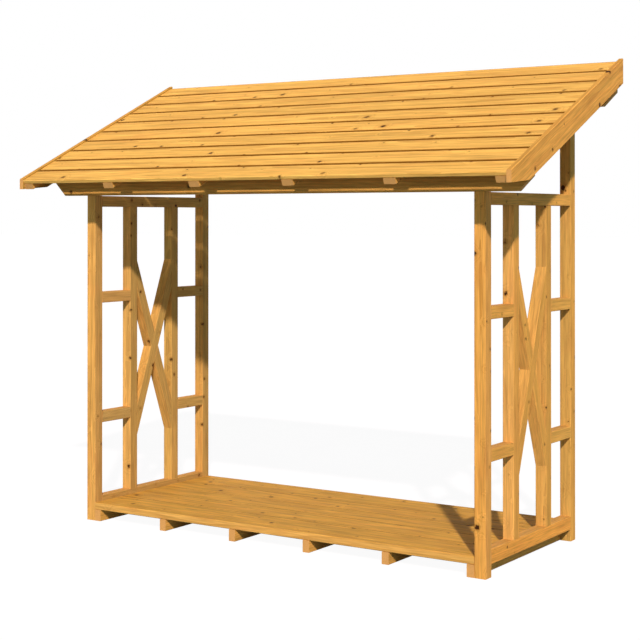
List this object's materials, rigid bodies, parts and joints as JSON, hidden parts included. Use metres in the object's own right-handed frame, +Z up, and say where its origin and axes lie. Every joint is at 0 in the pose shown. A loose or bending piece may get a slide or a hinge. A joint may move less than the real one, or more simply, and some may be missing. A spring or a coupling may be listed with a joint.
{
  "type": "log store",
  "caption": "Open timber log store with X-braced side frames, a boarded deck on bearers and a boarded roof sloping down to the front.",
  "frame": {"origin": "on the floor, below the centre of the roof's outline, which is the centre of the bounding box's underside", "axes": "+Z up, -Y towards the low open front, +X to the right of someone facing the front"},
  "size_m": [1.896, 0.821, 1.5804],
  "materials": {
    "frame_timber": "planed softwood, golden preservative treatment",
    "roof_timber": "planed softwood, golden preservative treatment",
    "roof_boards": "planed softwood boards, golden preservative treatment",
    "deck_boards": "planed softwood boards, golden preservative treatment",
    "bearers": "planed softwood, golden preservative treatment"
  },
  "bodies": {
    "root": {"bearer_1": "bearers", "bearer_2": "bearers", "bearer_3": "bearers", "bearer_4": "bearers", "bearer_5": "bearers", "bearer_6": "bearers", "deck_boards": "deck_boards", "deck_edges": "deck_boards", "front_beam": "roof_timber", "left_bargeboard": "roof_timber", "left_bottom_rail": "frame_timber", "left_brace_halves": "frame_timber", "left_brace_long": "frame_timber", "left_front_post": "frame_timber", "left_front_stud": "frame_timber", "left_lower_front_rail": "frame_timber", "left_lower_rear_rail": "frame_timber", "left_rear_post": "frame_timber", "left_rear_stud": "frame_timber", "left_top_rail": "frame_timber", "left_upper_front_rail": "frame_timber", "left_upper_rear_rail": "frame_timber", "rafter_1": "roof_timber", "rafter_2": "roof_timber", "rafter_3": "roof_timber", "rafter_4": "roof_timber", "rafter_5": "roof_timber", "rafter_6": "roof_timber", "rear_beam": "roof_timber", "right_bargeboard": "roof_timber", "right_bottom_rail": "frame_timber", "right_brace_halves": "frame_timber", "right_brace_long": "frame_timber", "right_front_post": "frame_timber", "right_front_stud": "frame_timber", "right_lower_front_rail": "frame_timber", "right_lower_rear_rail": "frame_timber", "right_rear_post": "frame_timber", "right_rear_stud": "frame_timber", "right_top_rail": "frame_timber", "right_upper_front_rail": "frame_timber", "right_upper_rear_rail": "frame_timber", "roof_boards": "roof_boards"}
  },
  "joints": []
}
